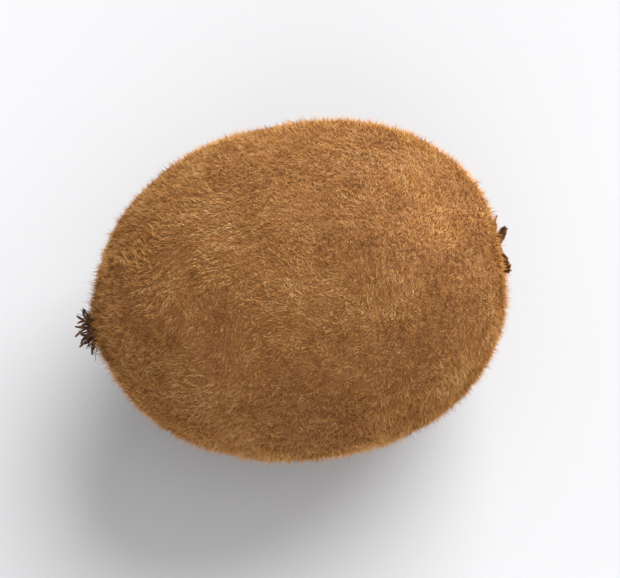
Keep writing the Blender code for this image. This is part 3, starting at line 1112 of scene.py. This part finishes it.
    # above the floor, and with the strand's tone and side across its map
    place = bench.split(where)
    height = bench.calc("MAXIMUM", place["Z"], given["Floor Gap"])
    lifted = bench.joined(place["X"], place["Y"], height)
    shape = bench.through("SetPosition", shape, {"Position": lifted})
    inStrand = bench.split(bench.stored("strandMap", "FLOAT_VECTOR"))
    side = bench.calc("MULTIPLY", inStrand["X"], fuzz["sideWidth"])
    place = bench.joined(bench.calc("ADD", bench.stored("tone"), side), inStrand["Y"])
    place = {"Name": "OFBake", "Value": place}
    shape = bench.through("StoreNamedAttribute", shape, place, data_type="FLOAT2", domain="CORNER")
    for name in ("tone", "strandMap"):
        shape = bench.through("RemoveAttribute", shape, {"Name": name})
    return endTree(bench, given, shape)


def makeFuzz():
    tree = fuzzTree()
    shared = {**fuzz, "calyx": dryCalyx, "axis": stemAxis, "middle": middle}
    shared["speckSpacing"] = specksAndShade["spacing"]
    shared["material"] = fuzzMaterial()
    strands = {1: strandShape("sliver", 1), 2: strandShape("spike", 2)}

    def grow(name, ground, slot, coat):
        piece = newPiece(name, ground.data.copy())
        applyTree(piece, tree, {**shared, **coat, "strand": strands[coat["rings"]]})
        attach(piece, slot)
        piece.data.calc_loop_triangles()
        print("kiwifruit:", name, "grown,", len(piece.data.loop_triangles), "triangles")

    for name, coat in coats.items():
        grow(name, fruitSkin, "skin", coat)
    grow("calyxDown", dryCalyx, "dry_calyx", calyxCoat)
    for strand in strands.values():
        bpy.data.objects.remove(strand, do_unlink=True)


makeFuzz()


# Camera at the photograph's angle
view = {
    "azimuth": math.radians(-11),
    "elevation": math.radians(72),
    "distance": 0.30,
    "lens": 110,
    "nearest": 0.01,
}


def makeCamera():
    level = Vector((math.sin(view["azimuth"]), -math.cos(view["azimuth"]), 0))
    back = level * math.cos(view["elevation"]) + Vector((0, 0, math.sin(view["elevation"])))
    camera = bpy.data.objects.new("camera", bpy.data.cameras.new("camera"))
    bpy.context.scene.collection.objects.link(camera)
    camera.location = middle + back * view["distance"]
    camera.rotation_euler = (-back).to_track_quat("-Z", "Y").to_euler()
    camera.data.lens = view["lens"]
    camera.data.clip_start = view["nearest"]
    bpy.context.scene.camera = camera


# Soft light from behind on the right, with a weaker one from the side and one from the front
lamps = {
    "key": {"from": (0.55, 0.6, 0.62), "strength": 6.1, "spread": math.radians(52)},
    "side": {"from": (0.9, -0.1, 0.4), "strength": 1.2, "spread": math.radians(60)},
    "fill": {"from": (-0.2, -0.9, 0.5), "strength": 1.3, "spread": math.radians(60)},
}
sky = {
    "colour": (1, 1, 1, 1),
    "strength": 0.75,
    "skyline": 1.1,  # as bright as the far floor
}


def makeLamp(name, lamp):
    sun = bpy.data.lights.new(name, "SUN")
    sun.energy = lamp["strength"]
    sun.angle = lamp["spread"]
    holder = bpy.data.objects.new(name, sun)
    bpy.context.scene.collection.objects.link(holder)
    holder.location = lamp["from"]
    holder.rotation_euler = Vector(lamp["from"]).to_track_quat("Z", "Y").to_euler()


def makeSky():
    world = bpy.data.worlds.new("studio")
    world.use_nodes = True
    bench = Bench(world.node_tree)
    background = world.node_tree.nodes["Background"].inputs
    background["Color"].default_value = sky["colour"]
    seen = bench.add("ShaderNodeLightPath").outputs["Is Camera Ray"]
    strength = bench.spread(seen, 0.0, 1.0, sky["strength"], sky["skyline"])
    bench.feed(background["Strength"], strength)
    bpy.context.scene.world = world


# Pale floor
ground = {
    "half": 3,
    "colour": (0.42, 0.42, 0.43, 1),
    "roughness": 0.85,
    "shine": 0.3,
}


def makeFloor():
    half = ground["half"]
    corners = [(-half, -half, 0), (half, -half, 0), (half, half, 0), (-half, half, 0)]
    floor = newPiece("floor", meshOf("floor", corners, [(0, 1, 2, 3)]))
    material, bench, shader = newMaterial("paleFloor", ground["shine"])
    shader["Base Color"].default_value = ground["colour"]
    shader["Roughness"].default_value = ground["roughness"]
    floor.data.materials.append(material)


makeCamera()
for name, lamp in lamps.items():
    makeLamp(name, lamp)
makeFloor()
makeSky()
bpy.context.scene.view_settings.view_transform = "Standard"
print("kiwifruit: camera, light and floor set")
